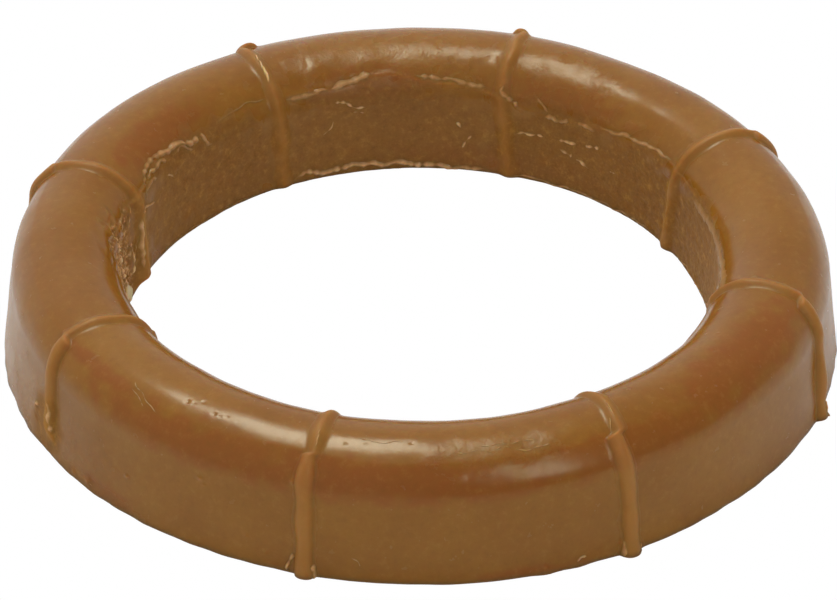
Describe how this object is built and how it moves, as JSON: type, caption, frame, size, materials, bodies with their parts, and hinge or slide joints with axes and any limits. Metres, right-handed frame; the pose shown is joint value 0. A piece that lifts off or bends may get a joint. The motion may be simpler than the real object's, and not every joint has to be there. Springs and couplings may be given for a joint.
{
  "type": "toilet pan seal",
  "caption": "Thick ring of amber wax with a flat foot, a rounded top and cast beads across it, that seals a toilet pan's outlet to the soil pipe flange.",
  "frame": {"origin": "middle of the ring, on the plane of its flat foot", "axes": "+Z along the ring's axis, from the flat foot to the rounded top; +X to the right in the picture, which looks along +Y from the -Y side"},
  "size_m": [0.1268, 0.1268, 0.0202],
  "materials": {
    "wax": null
  },
  "bodies": {
    "root": {"wax_ring": "wax"}
  },
  "joints": []
}
